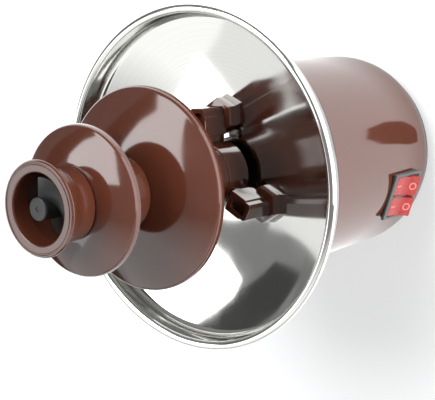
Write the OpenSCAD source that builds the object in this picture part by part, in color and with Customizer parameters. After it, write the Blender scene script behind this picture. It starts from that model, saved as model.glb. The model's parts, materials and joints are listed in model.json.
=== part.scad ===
// Table-top chocolate fountain: a motor base carries a heated steel bowl, and a stacked tower with an auger
// lifts the chocolate from the bowl to the crown, from where it falls over two tiers.
// The axis of the tower is Z, the feet stand on Z = 0 and the switch faces -Y.

/* [Base] */
// Height of the housing's top edge above the table
base_h = 132; // [124:0.5:146]
// Outer radius of the housing at its top edge
base_r_top = 61.7; // [60:0.1:66]
// Outer radius of the housing above its lower rounding
base_r_low = 57; // [55:0.5:60]
// Wall thickness of the housing
base_wall = 2.5; // [2:0.1:3.5]
// Radial size of the housing's lower rounding
round_r = 9; // [6:0.5:10]
// Height of the housing's lower rounding
round_h = 20; // [14:1:26]
// Thickness of the flange at the housing's top edge
top_flange_t = 3; // [2:0.5:5]
// Width of the flange at the housing's top edge
top_flange_w = 5.7; // [5:0.1:7.5]
// How far the bottom cover stands out past the housing's lower edge
cover_lip = 2; // [0:0.5:4]
// Thickness of the bottom cover
cover_t = 2.5; // [2:0.5:4]
// Height of the rubber feet
foot_h = 2; // [1.5:0.5:4]
// Radius of a rubber foot
foot_pad_r = 6; // [5:0.5:8]
// Distance of the rubber feet from the axis
foot_place_r = 38; // [32:1:40]
// Distance of the housing's screw columns from the axis
column_place_r = 39.5; // [38:0.5:40]
// Radius of a screw column
column_r = 4.5; // [4:0.25:5]
// Height of the screw columns' upper end, where the motor bracket sits
column_top = 78; // [70:1:84]
// Height of the lead's inlet above the table
inlet_z = 36; // [30:1:50]
// Radius of the lead's inlet hole in the housing
inlet_r = 5.5; // [5:0.25:7]

/* [Bowl] */
// Outer radius of the bowl's rolled rim
bowl_r = 95; // [85:1:110]
// Radius of the rolled rim's tube
roll_r = 2.5; // [2:0.25:3.5]
// Sheet thickness of the bowl
bowl_t = 0.8; // [0.6:0.1:1.2]
// Radius of the flat middle of the bowl's floor
floor_r = 15; // [14.5:0.5:20]
// Radius to which the bowl's floor is dished round its flat middle
dish_r = 162; // [150:2:200]
// Height from the floor to the middle of the rolled rim
bowl_depth = 28.7; // [24:0.5:40]
// Radius of the corner between the dished floor and the upright band below the rim
band_corner = 7; // [4:0.5:9]
// Thickness of the gasket between the housing and the bowl
gasket_t = 1; // [0.5:0.25:2]

/* [Pegs] */
// Distance of the pegs from the axis
peg_place_r = 32; // [31:0.25:32.25]
// Direction of the first peg, from +X
peg_az = 22.8; // [0:0.1:60]
// Width across the flats of a peg's base
peg_af = 18; // [16:0.5:19.5]
// Height of a peg's base
peg_h = 7.2; // [6:0.2:12]
// Radius of a peg's pin
peg_pin_r = 3.2; // [2.8:0.1:3.6]
// Height of a peg's pin above its base
peg_pin_h = 8; // [6:0.5:9]

/* [Tower] */
// Outer radius of the tower's tube
tube_r = 19; // [18.5:0.25:20]
// Radius of the bore in which the auger turns
bore_r = 16.5; // [16.2:0.1:17]
// Gap between the bowl's floor and the tube's lower end
intake_gap = 5; // [4:0.1:6]
// Length of the tower foot's tube
foot_tube_h = 16.2; // [15:0.2:24]
// Height of a leg of the tower foot
leg_h = 16.9; // [15:0.1:20]
// Width of a leg of the tower foot
leg_w = 12; // [11:0.5:14]
// Outer radius of the three legs
leg_out_r = 37.7; // [36.5:0.1:40]
// Size of the bevels at the outer corners of a leg
leg_corner = 1.6; // [0.8:0.2:2.4]
// Length of the spigot with which a piece plugs into the one below
spigot_h = 7.5; // [5:0.5:9]
// Wall thickness of the tiers
tier_t = 2; // [1.6:0.1:3]
// Radius of the rounded edge of the tiers
tier_edge = 3; // [2:0.25:3.5]
// Outer radius of the big tier
big_r = 54.2; // [48:0.2:60]
// Height from the foot's tube to the big tier's edge
big_rise = 50.3; // [44:0.1:60]
// Height of the big tier's dome
big_dome = 12.8; // [9:0.1:18]
// Outer radius of the small tier
small_r = 38.9; // [34:0.1:44]
// Height from the big tier's dome to the small tier's edge
small_rise = 32.2; // [28:0.1:44]
// Height of the small tier's dome
small_dome = 6.9; // [5:0.1:10]
// Outer radius of the crown
crown_r = 24.5; // [23:0.1:28]
// Radius of the crown's mouth
mouth_r = 18.3; // [17.5:0.1:19]
// Height of the crown
crown_h = 21.3; // [18:0.1:28]
// Height of the crown's plain collar
collar_h = 9.5; // [7:0.5:12]

/* [Auger] */
// Outer radius of the auger's flight
flight_r = 16; // [15.5:0.1:16]
// Thickness of the auger's flight
flight_t = 3; // [2:0.25:4]
// Pitch of the auger's flight
flight_pitch = 30; // [22:1:40]
// Direction in which the flight ends at the top, from +X
flight_end_az = 19; // [0:1:90]
// Radius of the auger's core
core_r = 6; // [5.2:0.1:6.5]
// Height of the auger's head above the crown
head_rise = 0.2; // [0:0.1:4]
// Width across the flats of the shaft's hexagonal end
drive_af = 6; // [5:0.25:6.25]
// Length of the shaft's hexagonal end
drive_hex_h = 14; // [10:0.5:20]

/* [Drive] */
// Radius of the drive shaft
shaft_r = 4; // [3.6:0.1:4.2]
// Radius of the motor can
motor_r = 21; // [18:0.5:23]
// Length of the motor can
motor_h = 32; // [24:1:36]
// Radius of the gearbox
gearbox_r = 25; // [22:0.5:27]
// Height of the gearbox
gearbox_h = 16; // [12:1:20]
// Thickness of the motor bracket
bracket_t = 2; // [1.5:0.25:3]
// Radius of the gearbox's output shaft
output_r = 3; // [2.5:0.25:3.5]
// Outer radius of the coupling
coupling_r = 7.5; // [6.5:0.25:9]
// Length of the coupling
coupling_h = 20; // [16:1:24]

/* [Heater] */
// Inner radius of the heater plate
heater_in_r = 38; // [37:0.5:40]
// Gap between the heater plate and the flange at the housing's top edge
heater_gap = 5; // [3.5:0.5:6]
// Thickness of the heater plate
heater_t = 4; // [3:0.5:6]
// Radius of the tubular heating element
element_r = 3.2; // [2.5:0.1:4]

/* [Switch] */
// Width of the switch's frame, round the housing
switch_w = 29; // [28.5:0.5:32]
// Height of the switch's frame
switch_h = 26.5; // [25:0.5:28]
// Thickness of the switch's frame
switch_t = 2; // [1.5:0.25:3.5]
// Depth of the switch's body behind its frame
switch_depth = 17; // [14:0.5:18]
// Height of the switch's middle above the table
switch_z = 37.5; // [36:0.5:60]
// Length of a rocker
rocker_l = 18.4; // [16:0.2:18.6]
// Height of a rocker's ends over its middle
rocker_rise = 2.2; // [1:0.1:2.4]
// Width of a rocker
rocker_w = 11.6; // [11:0.1:12]
// Angle of a rocker to the frame when one end is pressed
rocker_tilt = 16.5; // [10:0.5:17]

/* [Screws] */
// Radius of the screws' shanks
screw_r = 1.5; // [1.25:0.05:1.75]
// Radius of the screws' heads
head_r = 3.2; // [2.8:0.1:3.6]
// Height of the screws' heads
head_h = 1.9; // [1.6:0.1:2.2]
// Length of the screws that hold the bottom cover
cover_screw_l = 14; // [10:0.5:16]
// Length of the screws that hold the motor bracket
bracket_screw_l = 12; // [9:0.5:13]
// Length of the screws that hold the gearbox
gearbox_screw_l = 9; // [7:0.5:10]
// Radius of the screws that hold the pegs
peg_screw_r = 1.9; // [1.6:0.1:2.1]
// Radius of those screws' heads
peg_head_r = 4; // [3.5:0.1:4.5]

/* [Clearances] */
// Gap between faces that rest on each other when the tower is stacked
seat_gap = 0.2; // [0.1:0.05:0.4]
// Radial gap of the pieces that plug into each other
plug_gap = 0.3; // [0.3:0.05:0.5]
// Radial gap of a shaft that turns in a bush
run_gap = 0.08; // [0.05:0.01:0.1]
// Radial gap of a screw or pin in its hole
screw_gap = 0.1; // [0.05:0.01:0.2]

/* [Hidden] */
$fn = 96;
// Points on each rounded corner of a turned outline
corner_steps = 8;
// Points on each curve of a turned outline
curve_steps = 14;
// Points of the auger's flight to a turn
flight_steps = 30;
// Small overlap that joins the solids of one piece
joined = 0.4;

// Rings at the housing's top edge, from the inside outwards
top_flange_r = base_r_top - top_flange_w;
heater_out_r = top_flange_r - heater_gap;
gasket_in_r = top_flange_r + 0.5;
gasket_out_r = base_r_top - 1;

// Height of the dished floor above the bowl's flat middle, and of the sheet's underside
function dish(r) = r <= floor_r ? 0 : dish_r - sqrt(dish_r * dish_r - (r - floor_r) * (r - floor_r));
function dish_slope(r) = r <= floor_r ? 0 : asin((r - floor_r) / dish_r);
function under_rise(r) = dish(r) - bowl_t / cos(dish_slope(r));
function under(r) = floor_z + under_rise(r);

// Levels, from the table upwards
cover_z = foot_h;
housing_z = cover_z + cover_t;
floor_z = base_h + gasket_t - under_rise(gasket_in_r);
bowl_under = floor_z - bowl_t;
rim_z = floor_z + bowl_depth;
peg_top = floor_z + peg_h;
leg_z = peg_top + seat_gap;
tube_z = floor_z + intake_gap;
foot_top = tube_z + foot_tube_h;
big_z = foot_top + big_rise;
big_hub = big_z + big_dome;
small_z = big_hub + small_rise;
small_hub = small_z + small_dome;
crown_z = small_hub + seat_gap;
crown_top = crown_z + crown_h;

// Radii shared by the tower's plugs and sockets
socket_r = bore_r + (tube_r - bore_r) * 0.52;
spigot_r = socket_r - plug_gap;
socket_h = spigot_h + 0.5;
big_tube_r = tube_r - 0.4;
leg_bore_r = peg_pin_r + plug_gap;

// Housing
housing_foot_r = base_r_low - round_r;
cover_r = housing_foot_r + cover_lip;
cover_ring_r = housing_foot_r - base_wall - 0.4;
column_z = housing_z + 3;
column_places = [for (i = [0:3]) 45 + 90 * i];
pilot_r = screw_r + screw_gap;
rib_t = 2.5;
foot_stem_r = 2.5;
barb_z = housing_z + 0.2;
clip_w = 12;
clip_t = 1.2;
clip_r = top_flange_r - 1.6;

// Auger and drive
auger_z = tube_z + 2.2;
auger_top = crown_top + head_rise;
flight_z = auger_z + flight_t / 2 + 0.3;
flight_top = crown_top - 0.5 - flight_t / 2;
shoulder_z = auger_z - seat_gap;
flange_r = 11;
bush_flange_t = 1.6;
bush_r = 8;
seal_t = 1.4;
seal_z = floor_z + bush_flange_t;
nut_t = 5;
bush_tail = 8;
bush_low = bowl_under - nut_t - bush_tail;
coupling_z = column_top + bracket_t + 5;
coupling_mid = coupling_z + coupling_h / 2;
gearbox_z = column_top - gearbox_h;
motor_z = gearbox_z - motor_h;
gearbox_boss_r = 6;
gearbox_boss_h = 4;
gearbox_screw_r = 17;

// Switch
round_top = housing_z + round_h;
function wall_r(z) = base_r_low + (base_r_top - base_r_low) * (z - round_top) / (base_h - round_top);
outer_r = max(base_r_low, base_r_top) + 1;
frame_back = wall_r(switch_z) + 0.1;
frame_front = frame_back + switch_t;
body_w = switch_w - 2;
body_h = switch_h - 2.2;
window_w = rocker_w + 0.5;
rocker_x = window_w / 2 + 0.6;
pivot_in = 4;
// Outer edge of a rocker's end, along the rocker and outwards from its pin, and the gap it swings past
rocker_edge = [rocker_l / 2 - 0.5, pivot_in + rocker_rise];
swing_gap = 0.4;
window_h = 2 * (rocker_edge[0] * cos(rocker_tilt) + rocker_edge[1] * sin(rocker_tilt) + swing_gap);
pivot_y = -(frame_front - pivot_in);
pocket_depth = pivot_in + 5.5;
rocker_pin_r = 1;
blade_places = [for (x = [-1, 1], z = [-1, 1]) [x * rocker_x, z * 5]];

// Colours of the materials
brown = "#6b3a2c";
steel = "#c9cbcc";
dark_grey = "#4b4d4f";
red = "#d8383c";
black = "#26262a";
brass = "#c8a555";
pale = "#d9d5c8";

// Outlines: unit vectors, rounded corners, shifted paths and curves
function unit(v) = v / norm(v);
function left(v) = [-v[1], v[0]];
function turned(v, a) = [v[0] * cos(a) - v[1] * sin(a), v[0] * sin(a) + v[1] * cos(a)];
function bend(a, b) = a[0] * b[1] - a[1] * b[0] >= 0 ? 1 : -1;
function into(path, i) = unit(path[i] - path[i - 1]);
function corner(p, a, b, r) =
    let (
        angle = acos(min(1, max(-1, a * b))),
        s = bend(a, b),
        middle = p - a * r * tan(angle / 2) + left(a) * r * s
    )
    [for (i = [0:corner_steps]) middle - turned(left(a), s * angle * i / corner_steps) * r * s];
function rounded(path, radii) = [
    for (i = [0:len(path) - 1])
        let (inner = i > 0 && i < len(path) - 1 && radii[i] > 0)
        each inner ? corner(path[i], into(path, i), into(path, i + 1), radii[i]) : [path[i]]
];
function mitre(p, a, b, d) = p + (left(a) + left(b)) * d / (1 + a * b);
function shifted(path, d) = [
    for (i = [0:len(path) - 1])
        let (a = into(path, max(i, 1)), b = into(path, min(i + 1, len(path) - 1)))
        mitre(path[i], a, b, d)
];
function reversed(path) = [for (i = [len(path) - 1:-1:0]) path[i]];
function curve(p, q, r) = [
    for (i = [0:curve_steps])
        let (u = i / curve_steps)
        p * (1 - u) * (1 - u) + q * 2 * u * (1 - u) + r * u * u
];
function quarter(middle, rx, rz, from, to) = [
    for (i = [0:curve_steps])
        let (a = from + (to - from) * i / curve_steps)
        [middle[0] + rx * cos(a), middle[1] + rz * sin(a)]
];

module turned_part(outline) {
    rotate_extrude()
        polygon(outline);
}

module ring(r_in, r_out, z, h) {
    translate([0, 0, z])
        difference() {
            cylinder(r = r_out, h = h);
            translate([0, 0, -1])
                cylinder(r = r_in, h = h + 2);
        }
}

module hexagon(af, h) {
    cylinder(r = af / sqrt(3), h = h, $fn = 6);
}

// A pan-head screw whose head's flat side lies at Z = 0, shank towards -Z
module screw(head_r, head_h, shank_r, length) {
    rotate_extrude()
        polygon(concat(
            [[0, -length], [shank_r, -length], [shank_r, 0], [head_r, 0]],
            quarter([head_r - head_h * 0.6, head_h * 0.4], head_h * 0.6, head_h * 0.6, 0, 90),
            [[0, head_h]]
        ));
}

module at_columns(z) {
    for (a = column_places)
        rotate(a)
            translate([column_place_r, 0, z])
                children();
}

module at_feet(z) {
    for (a = [0:90:270])
        rotate(a)
            translate([foot_place_r, 0, z])
                children();
}

module at_peg(number) {
    rotate(peg_az + 120 * (number - 1))
        translate([peg_place_r, 0, 0])
            children();
}

// Outline of the housing's side from its lower edge to its top edge, drawn in by a wall
function housing_side(wall) = concat(
    quarter([housing_foot_r - wall, round_top], round_r, round_h, -90, 0),
    [[base_r_top - wall, base_h]]
);

// Room inside the housing, drawn a little into its wall so that what fills it joins the wall
module housing_room() {
    turned_part(concat([[0, housing_z]], housing_side(base_wall - joined), [[0, base_h]]));
}

module columns() {
    at_columns(column_z)
        cylinder(r = column_r, h = column_top - column_z);
    for (a = column_places)
        rotate(a)
            translate([column_place_r, -rib_t / 2, round_top])
                cube([base_r_top - column_place_r, rib_t, column_top - round_top - 2]);
}

module base_housing() {
    color(brown)
        difference() {
            union() {
                turned_part(concat(housing_side(0), reversed(housing_side(base_wall))));
                ring(top_flange_r, base_r_top - base_wall + joined, base_h - top_flange_t, top_flange_t);
                intersection() {
                    housing_room();
                    columns();
                }
            }
            at_columns(column_z - 1)
                cylinder(r = pilot_r, h = 16);
            at_columns(column_top - 14)
                cylinder(r = pilot_r, h = 20);
            // Opening for the switch's body and the flat on which its frame lies
            translate([-body_w / 2 - 0.2, -outer_r, switch_z - body_h / 2 - 0.2])
                cube([body_w + 0.4, outer_r - frame_back + switch_depth, body_h + 0.4]);
            translate([-switch_w / 2 - 0.3, -outer_r, switch_z - switch_h / 2 - 0.3])
                cube([switch_w + 0.6, outer_r - frame_back, switch_h + 0.6]);
            translate([0, 0, inlet_z])
                rotate([-90, 0, 0])
                    cylinder(r = inlet_r, h = outer_r);
        }
}

module bottom_cover() {
    color(dark_grey)
        difference() {
            union() {
                translate([0, 0, cover_z])
                    cylinder(r = cover_r, h = cover_t);
                ring(cover_ring_r - 2, cover_ring_r, housing_z - joined, 3);
                at_columns(housing_z - joined)
                    cylinder(r = column_r, h = column_z - housing_z + joined);
            }
            at_columns(cover_z - 1)
                cylinder(r = head_r + 0.6, h = 1 + cover_t);
            at_columns(cover_z)
                cylinder(r = pilot_r + 0.2, h = 20);
            at_feet(cover_z - 1)
                cylinder(r = foot_stem_r + screw_gap, h = 10);
            // Slots that let the motor's warm air out
            for (i = [-3:3])
                translate([i * 7 - 1.5, -15, cover_z - 1])
                    cube([3, 30, cover_t + 2]);
        }
}

module rubber_feet() {
    color(black)
        at_feet(0)
            rotate_extrude()
                polygon([
                    [0, 0], [foot_pad_r - 0.8, 0], [foot_pad_r, 0.8], [foot_pad_r, foot_h],
                    [foot_stem_r, foot_h], [foot_stem_r, barb_z], [foot_stem_r + 0.7, barb_z],
                    [foot_stem_r - 0.3, barb_z + 2], [0, barb_z + 2]
                ]);
}

module cover_screws() {
    color(steel)
        at_columns(cover_z + cover_t)
            rotate([180, 0, 0])
                screw(head_r, head_h, screw_r, cover_screw_l);
}

// Path along the inside of the bowl, from the axis to the rolled rim
band_r = bowl_r - 2 * roll_r;
function floor_path(to_r) = [
    for (i = [0:curve_steps])
        let (r = floor_r + (to_r - floor_r) * i / curve_steps)
        [r, floor_z + dish(r)]
];
bowl_path = concat([[0, floor_z]], floor_path(band_r), [[band_r, rim_z]]);
function band_radii(r) = [for (i = [0:curve_steps + 2]) i == curve_steps + 1 ? r : 0];
roll_middle = [bowl_r - roll_r, rim_z];
roll_end = -80;

module bowl() {
    color(steel)
        difference() {
            turned_part(concat(
                rounded(bowl_path, band_radii(band_corner)),
                quarter(roll_middle, roll_r, roll_r, 180, roll_end),
                quarter(roll_middle, roll_r - bowl_t, roll_r - bowl_t, roll_end, 180),
                reversed(rounded(shifted(bowl_path, -bowl_t), band_radii(band_corner + bowl_t)))
            ));
            translate([0, 0, floor_z - 5])
                cylinder(r = bush_r + screw_gap, h = 10);
            for (i = [1:3])
                at_peg(i)
                    translate([0, 0, floor_z - 5])
                        cylinder(r = peg_screw_r + 2 * screw_gap, h = 10);
        }
}

module bowl_gasket() {
    color(black)
        turned_part([
            [gasket_in_r, base_h], [gasket_out_r, base_h], [gasket_out_r, under(gasket_out_r) - 0.02],
            [gasket_in_r, under(gasket_in_r) - 0.02]
        ]);
}

// Spring clips under the bowl that hook below the housing's flange
module bowl_clips() {
    hook_z = base_h - top_flange_t - clip_t;
    color(steel)
        for (i = [0:2])
            rotate(peg_az + 60 + 120 * i)
                translate([clip_r - clip_t, -clip_w / 2, 0]) {
                    translate([0, 0, hook_z])
                        cube([clip_t, clip_w, under(clip_r - clip_t) - hook_z]);
                    translate([0, 0, hook_z])
                        cube([clip_t + 4, clip_w, clip_t]);
                }
}

// What lies below the dished floor, to which the pegs' bases are shaped
module below_floor() {
    translate([0, 0, 0.02])
        turned_part(concat([[0, floor_z - 2], [0, floor_z]], floor_path(band_r), [[band_r, floor_z - 2]]));
}

module peg(number) {
    color(brown)
        difference() {
            at_peg(number) {
                translate([0, 0, floor_z])
                    hexagon(peg_af, peg_h);
                translate([0, 0, peg_top - joined])
                    cylinder(r = peg_pin_r, h = peg_pin_h + joined);
            }
            at_peg(number)
                translate([0, 0, floor_z - 1])
                    cylinder(r = peg_screw_r + screw_gap, h = peg_h);
            below_floor();
        }
}

module peg_1() {
    peg(1);
}

module peg_2() {
    peg(2);
}

module peg_3() {
    peg(3);
}

module peg_screws() {
    color(steel)
        for (i = [1:3])
            at_peg(i)
                translate([0, 0, under(peg_place_r - peg_head_r)])
                    rotate([180, 0, 0])
                        screw(peg_head_r, head_h, peg_screw_r, bowl_t + peg_h - 2.4);
}

module shaft_bush() {
    color(pale)
        turned_part([
            [shaft_r + run_gap, bush_low], [bush_r, bush_low], [bush_r, floor_z], [flange_r, floor_z],
            [flange_r, floor_z + bush_flange_t * 0.5], [flange_r - 1, seal_z], [shaft_r + run_gap, seal_z]
        ]);
}

module bush_nut() {
    color(pale)
        translate([0, 0, bowl_under - nut_t])
            difference() {
                hexagon(3 * bush_r, nut_t);
                translate([0, 0, -1])
                    cylinder(r = bush_r + screw_gap, h = nut_t + 2);
            }
}

module shaft_seal() {
    color(black)
        turned_part([
            [shaft_r + run_gap, seal_z], [shaft_r + 2.6, seal_z], [shaft_r + 2.6, seal_z + seal_t * 0.5],
            [shaft_r + 0.8, seal_z + seal_t], [shaft_r + run_gap, seal_z + seal_t]
        ]);
}

// Level face of the heater plate, to which the heating element is brazed
heater_z = under(heater_in_r) - heater_t;

module heater_plate() {
    color("silver")
        turned_part(concat(
            [[heater_in_r, heater_z], [heater_out_r, heater_z]],
            [
                for (i = [0:corner_steps])
                    let (r = heater_out_r + (heater_in_r - heater_out_r) * i / corner_steps)
                    [r, under(r) - 0.05]
            ]
        ));
}

element_place_r = (heater_in_r + heater_out_r) / 2;
element_z = heater_z - element_r;
lead_h = 11;
lead_r = 2;
sensor_place_r = 26;

module heater_element() {
    color("dimgray") {
        translate([0, 0, element_z])
            rotate(100)
                rotate_extrude(angle = 330)
                    translate([element_place_r, 0])
                        circle(r = element_r);
        for (a = [100, 70])
            rotate(a)
                translate([element_place_r, 0, element_z - lead_h])
                    cylinder(r = lead_r, h = lead_h);
    }
}

module thermostat() {
    color(black)
        rotate(peg_az + 60)
            translate([sensor_place_r, 0, bowl_under - 9]) {
                cylinder(r = 8, h = 9);
                for (x = [-4, 4])
                    translate([x - 0.4, -2, -7])
                        cube([0.8, 4, 7.5]);
            }
}

module thermal_fuse() {
    color(pale)
        rotate(peg_az - 60)
            translate([sensor_place_r, 0, under(sensor_place_r - 1) - 2.5])
                rotate([90, 0, 0])
                    translate([0, 0, -7])
                        cylinder(r = 2.5, h = 14);
}

module motor_bracket() {
    color(steel)
        translate([0, 0, column_top])
            difference() {
                cylinder(r = column_place_r + column_r, h = bracket_t);
                for (a = [0:90:270])
                    rotate(a)
                        translate([column_place_r + 1, 0, -1])
                            cylinder(r = 15, h = bracket_t + 2);
                translate([0, 0, -1])
                    cylinder(r = gearbox_boss_r + 0.4, h = bracket_t + 2);
                at_columns(-1)
                    cylinder(r = pilot_r + 0.2, h = bracket_t + 2);
                for (a = [0:120:240])
                    rotate(a)
                        translate([gearbox_screw_r, 0, -1])
                            cylinder(r = pilot_r + 0.2, h = bracket_t + 2);
            }
}

module bracket_screws() {
    color(steel)
        at_columns(column_top + bracket_t)
            screw(head_r, head_h, screw_r, bracket_screw_l);
}

module gearbox() {
    color("gray")
        difference() {
            union() {
                turned_part(concat(
                    [[0, gearbox_z], [gearbox_r, gearbox_z]],
                    rounded([[gearbox_r, gearbox_z], [gearbox_r, column_top], [0, column_top]], [0, 1.5, 0])
                ));
                translate([0, 0, column_top - joined])
                    cylinder(r = gearbox_boss_r, h = gearbox_boss_h + joined);
            }
            translate([0, 0, column_top - 12])
                cylinder(r = output_r + run_gap, h = 30);
            for (a = [0:120:240])
                rotate(a)
                    translate([gearbox_screw_r, 0, column_top - 9])
                        cylinder(r = pilot_r, h = 10);
        }
}

module gearbox_screws() {
    color(steel)
        for (a = [0:120:240])
            rotate(a)
                translate([gearbox_screw_r, 0, column_top + bracket_t])
                    screw(head_r, head_h, screw_r, gearbox_screw_l);
}

module motor_can() {
    color("lightgray")
        turned_part(rounded(
            [[0, motor_z - 3], [5, motor_z - 3], [5, motor_z], [motor_r, motor_z], [motor_r, gearbox_z],
                [0, gearbox_z]],
            [0, 1, 0.5, 3, 0, 0]
        ));
}

module motor_terminals() {
    color(brass)
        for (x = [-12, 12])
            translate([x - 2.4, -0.4, motor_z - 7])
                cube([4.8, 0.8, 7]);
}

module output_shaft() {
    color(steel)
        translate([0, 0, column_top - 11])
            cylinder(r = output_r, h = coupling_mid - column_top + 10.8);
}

module coupling() {
    color("silver")
        difference() {
            turned_part(rounded(
                [[0, coupling_z], [coupling_r, coupling_z], [coupling_r, coupling_z + coupling_h],
                    [0, coupling_z + coupling_h]],
                [0, 0.8, 0.8, 0]
            ));
            translate([0, 0, coupling_z - 1])
                cylinder(r = output_r + 0.05, h = coupling_h / 2 + 1);
            translate([0, 0, coupling_mid])
                cylinder(r = shaft_r + 0.05, h = coupling_h);
            for (z = [-1, 1])
                translate([0, 0, coupling_mid + z * coupling_h / 4])
                    rotate([0, 90, 0])
                        cylinder(r = 1.55, h = coupling_r + 2);
        }
}

module set_screws() {
    color(black)
        for (z = [-1, 1])
            translate([(z < 0 ? output_r : shaft_r) + 0.05, 0, coupling_mid + z * coupling_h / 4])
                rotate([0, 90, 0])
                    cylinder(r = 1.5, h = coupling_r - (z < 0 ? output_r : shaft_r) - 0.3);
}

module drive_shaft() {
    color(steel) {
        translate([0, 0, coupling_mid + 0.2])
            cylinder(r = shaft_r, h = shoulder_z - coupling_mid - 0.2);
        translate([0, 0, shoulder_z - joined])
            hexagon(drive_af, drive_hex_h + joined);
    }
}

// One closed helical strip from the core to the flight's edge
flight_turns = (flight_top - flight_z) / flight_pitch;
flight_count = ceil(flight_turns * flight_steps);
flight_root = core_r - 0.6;

function flight_point(i, r, z) =
    let (u = i / flight_count, a = flight_end_az - 360 * flight_turns * (1 - u))
    [r * cos(a), r * sin(a), flight_z + (flight_top - flight_z) * u + z];

module flight() {
    points = [
        for (i = [0:flight_count])
            each [
                flight_point(i, flight_root, -flight_t / 2), flight_point(i, flight_r, -flight_t / 2 + 0.5),
                flight_point(i, flight_r, flight_t / 2 - 0.5), flight_point(i, flight_root, flight_t / 2)
            ]
    ];
    sides = [
        for (i = [0:flight_count - 1], k = [0:3])
            let (a = 4 * i + k, b = 4 * i + (k + 1) % 4)
            each [[a, b, b + 4], [a, b + 4, a + 4]]
    ];
    last = 4 * flight_count;
    ends = [[0, 2, 1], [0, 3, 2], [last, last + 1, last + 2], [last, last + 2, last + 3]];
    polyhedron(points, concat(sides, ends));
}

module auger() {
    color(dark_grey)
        difference() {
            union() {
                turned_part(rounded(
                    [[0, auger_z], [core_r, auger_z], [core_r, auger_top], [0, auger_top]],
                    [0, 0.5, 0.6, 0]
                ));
                flight();
            }
            translate([0, 0, auger_z - 1])
                hexagon(drive_af + 2 * plug_gap, drive_hex_h + 2);
        }
}

// A leg stands clear of the tube above the foot and is tied to the foot's tube by a web
module leg() {
    inner_r = tube_r + 3.3;
    step_r = peg_place_r + 1.2;
    end_w = leg_w / 2 - 0.8;
    difference() {
        union() {
            translate([tube_r - joined, -leg_w / 2 + 1.2, leg_z])
                cube([inner_r - tube_r + 2 * joined, leg_w - 2.4, foot_top - leg_z - 1.5]);
            translate([inner_r, -leg_w / 2, leg_z])
                cube([step_r - inner_r, leg_w, leg_h]);
            translate([0, 0, leg_z])
                linear_extrude(leg_h)
                    polygon([
                        [step_r - joined, -end_w], [leg_out_r - leg_corner, -end_w],
                        [leg_out_r, leg_corner - end_w], [leg_out_r, end_w - leg_corner],
                        [leg_out_r - leg_corner, end_w], [step_r - joined, end_w]
                    ]);
        }
        translate([peg_place_r, 0, leg_z - 1])
            cylinder(r = leg_bore_r, h = peg_pin_h + 1.8);
        translate([peg_place_r - 4, -3.2, leg_z + leg_h - 4])
            cube([7.5, 6.4, 5]);
    }
}

module tower_foot() {
    color(brown)
        difference() {
            union() {
                turned_part(rounded(
                    [[bore_r, tube_z], [tube_r, tube_z], [tube_r, foot_top], [bore_r, foot_top]],
                    [0, 0.6, 0.6, 0]
                ));
                for (i = [0:2])
                    rotate(peg_az + 120 * i)
                        leg();
            }
            translate([0, 0, foot_top - socket_h])
                cylinder(r = socket_r, h = socket_h + 1);
        }
}

// Slopes of a dome at its hub and at its edge
dome_hub_slope = 12;
dome_edge_slope = 27;

function dome(hub, edge) =
    let (
        a = tan(dome_hub_slope), b = tan(dome_edge_slope),
        x = (hub[1] - edge[1] + a * hub[0] - b * edge[0]) / (a - b)
    )
    curve(hub, [x, hub[1] - a * (x - hub[0])], edge);

// A tier: a dome with a rounded edge, a tube below it and a socket on top of it
module tier(edge_r, edge_z, hub_z, low_z, low_r) {
    skirt_z = edge_z - tier_edge - 0.8;
    top = dome([tube_r + 0.6, hub_z], [edge_r, edge_z]);
    under = dome([low_r, hub_z - tier_t * 1.1], [edge_r - tier_t, edge_z - tier_t]);
    edge_only = [for (i = [0:curve_steps + 1]) i == curve_steps ? tier_edge : 0];
    color(brown)
        turned_part(concat(
            [[bore_r, low_z - spigot_h], [spigot_r, low_z - spigot_h], [spigot_r, low_z], [low_r, low_z]],
            under,
            [[edge_r - tier_t, skirt_z]],
            reversed(rounded(concat(top, [[edge_r, skirt_z]]), edge_only)),
            [[socket_r, hub_z], [socket_r, hub_z - socket_h], [bore_r, hub_z - socket_h]]
        ));
}

module big_tier() {
    tier(big_r, big_z, big_hub, foot_top + seat_gap, big_tube_r);
}

module small_tier() {
    tier(small_r, small_z, small_hub, big_hub + seat_gap, tube_r);
}

module crown() {
    lip_z = crown_top - 3;
    color(brown)
        turned_part(concat(
            [[bore_r, crown_z - spigot_h], [spigot_r, crown_z - spigot_h]],
            rounded(
                [[spigot_r, crown_z], [tube_r, crown_z], [tube_r, crown_z + collar_h], [crown_r - 0.8, lip_z],
                    [crown_r, crown_top - 1.2], [crown_r - 0.8, crown_top], [crown_r - 1.5, crown_top]],
                [0, 1.2, 8, 1, 0.8, 0.4, 0]
            ),
            [[crown_r - 1.8, crown_top - 0.4], [crown_r - 2.3, crown_top - 0.4], [crown_r - 2.6, crown_top]],
            [[mouth_r, crown_top], [bore_r, crown_top - 9]]
        ));
}

module switch_frame() {
    color(dark_grey)
        difference() {
            union() {
                translate([-switch_w / 2, -frame_front, switch_z - switch_h / 2])
                    cube([switch_w, switch_t, switch_h]);
                translate([-body_w / 2, -frame_back - joined, switch_z - body_h / 2])
                    cube([body_w, switch_depth + joined, body_h]);
            }
            for (side = [-1, 1])
                translate([side * rocker_x - window_w / 2, -frame_front - 1, switch_z - window_h / 2])
                    cube([window_w, pocket_depth + 1, window_h]);
            translate([-body_w / 2 - 1, pivot_y, switch_z])
                rotate([0, 90, 0])
                    cylinder(r = rocker_pin_r + 0.03, h = body_w + 2);
        }
}

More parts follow.
